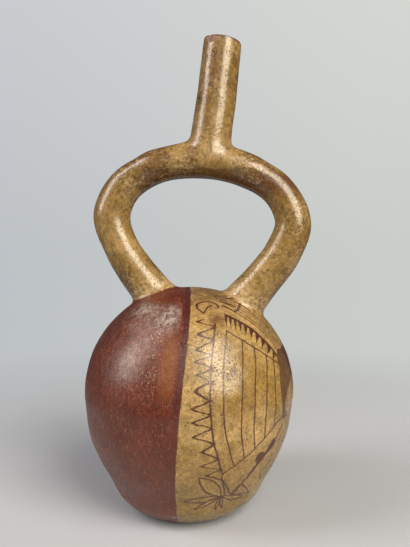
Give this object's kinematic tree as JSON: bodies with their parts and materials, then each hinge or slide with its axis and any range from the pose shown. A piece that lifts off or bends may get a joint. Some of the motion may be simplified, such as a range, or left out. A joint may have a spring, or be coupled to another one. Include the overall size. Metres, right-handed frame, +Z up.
{
  "type": "stirrup spout vessel",
  "caption": "Hollow ceramic bottle: a rounded body on a small flat foot, with a tubular stirrup whose arms meet in an open spout, for holding and pouring liquid.",
  "frame": {"origin": "centre of the flat foot, on the surface that the vessel stands on", "axes": "+Z up; the stirrup lies in the XZ plane with its buff-slipped leg at +X and the red-slipped half of the body at -X; the pictured side faces -Y"},
  "size_m": [0.1392, 0.1292, 0.2875],
  "materials": {
    "slipped_clay": "burnished buff slip with one red-brown half and fine red-brown line painting, worn and pitted"
  },
  "bodies": {
    "root": {"vessel": "slipped_clay"}
  },
  "joints": []
}
